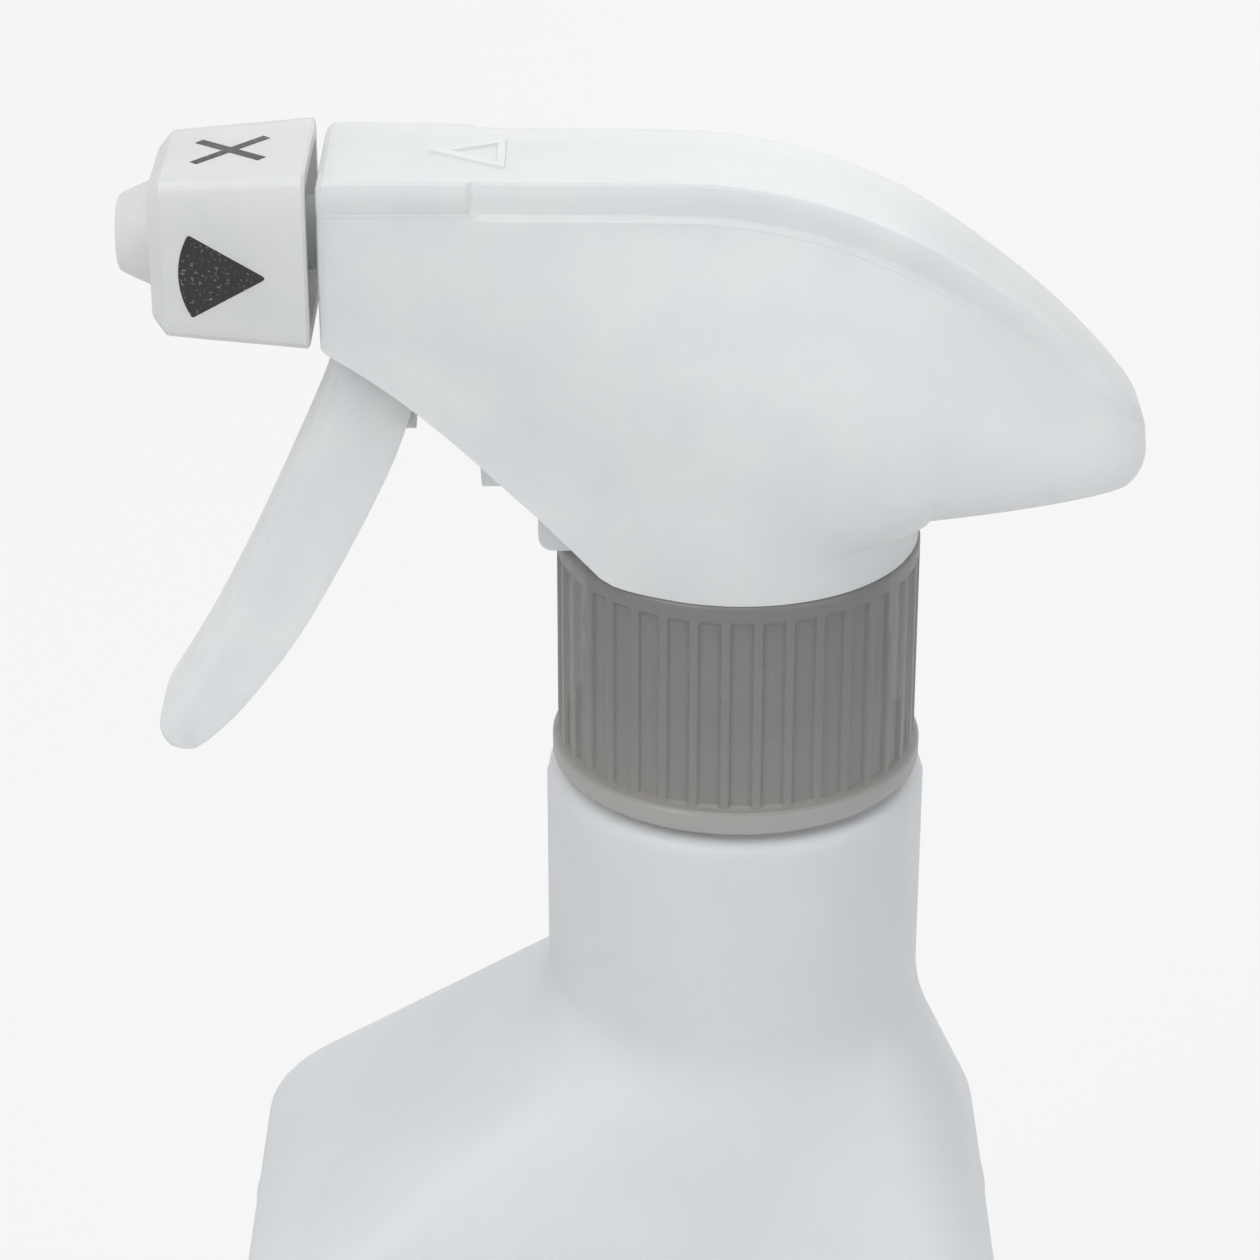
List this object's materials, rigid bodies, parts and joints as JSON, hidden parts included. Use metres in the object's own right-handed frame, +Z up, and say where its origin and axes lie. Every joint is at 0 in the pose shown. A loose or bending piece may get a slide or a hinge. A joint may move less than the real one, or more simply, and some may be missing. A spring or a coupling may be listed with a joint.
{
  "type": "trigger sprayer bottle",
  "caption": "Hand mister: translucent refillable bottle with a squeeze-trigger pump head, square turning nozzle and ribbed screw closure.",
  "frame": {"origin": "on the neck's axis, on the plane that the bottle stands on", "axes": "+Z up along the neck, -X the way the nozzle points, symmetric about y = 0"},
  "size_m": [0.0948, 0.05, 0.2217],
  "materials": {
    "bottle_hdpe": "translucent natural HDPE, soft satin",
    "closure_grey": "translucent grey PP, satin",
    "shroud_pp": "translucent natural PP, smooth",
    "trigger_pp": "translucent natural PP, smooth",
    "nozzle_pp": "translucent natural PP, smooth",
    "pump_pp": "natural PP",
    "piston_pe": "natural PE",
    "tube_pe": "translucent natural PE tube",
    "seal_soft": "soft pale elastomer",
    "spring_steel": "drawn stainless wire",
    "ball_steel": "polished stainless ball"
  },
  "bodies": {
    "bottle": {"bottle": "bottle_hdpe"},
    "head": {"shroud": "shroud_pp", "pump_body": "pump_pp", "tube_connector": "pump_pp", "gasket": "seal_soft", "dip_tube": "tube_pe", "strainer": "piston_pe", "riser_plug": "pump_pp", "nozzle_insert": "piston_pe", "nozzle_seal": "seal_soft", "discharge_spring": "spring_steel", "return_spring": "spring_steel"},
    "closure": {"closure_ring": "closure_grey"},
    "trigger": {"trigger": "trigger_pp"},
    "piston": {"piston": "piston_pe", "piston_seal": "seal_soft"},
    "intake_ball": {"intake_ball": "ball_steel"},
    "discharge_valve": {"discharge_valve": "seal_soft"},
    "nozzle": {"nozzle_cap": "nozzle_pp", "orifice_cup": "piston_pe"}
  },
  "joints": [
    {"name": "head_lift", "type": "slide", "parent": "bottle", "child": "head", "axis": [0, 0, 1], "range_m": [0, 0.007]},
    {"name": "closure_turn", "type": "hinge", "parent": "head", "child": "closure", "pos_m": [0, 0, 0.16], "axis": [0, 0, 1], "range_deg": [0, 601]},
    {"name": "trigger_squeeze", "type": "hinge", "parent": "head", "child": "trigger", "pos_m": [-0.031, 0, 0.208], "axis": [0, -1, 0], "range_deg": [0, 22], "stiffness_Nm_per_rad": 0.09, "springref_deg": -22.92},
    {"name": "piston_stroke", "type": "slide", "parent": "head", "child": "piston", "axis": [1, 0, 0], "range_m": [0, 0.0047], "deforming": ["return_spring"]},
    {"name": "nozzle_turn", "type": "hinge", "parent": "head", "child": "nozzle", "pos_m": [-0.045, 0, 0.2133], "axis": [-1, 0, 0], "continuous": true},
    {"name": "intake_ball_lift", "type": "slide", "parent": "head", "child": "intake_ball", "axis": [0, 0, 1], "range_m": [0, 0.001]},
    {"name": "discharge_valve_lift", "type": "slide", "parent": "head", "child": "discharge_valve", "axis": [0, 0, 1], "range_m": [0, 0.001], "stiffness_N_per_m": 150, "springref_m": -0.002, "deforming": ["discharge_spring"]}
  ],
  "couplings": [
    {"joint": "closure_turn", "follows": "head_lift", "rad_per_m": 1496},
    {"joint": "piston_stroke", "follows": "trigger_squeeze", "m_per_rad": 0.0121}
  ]
}
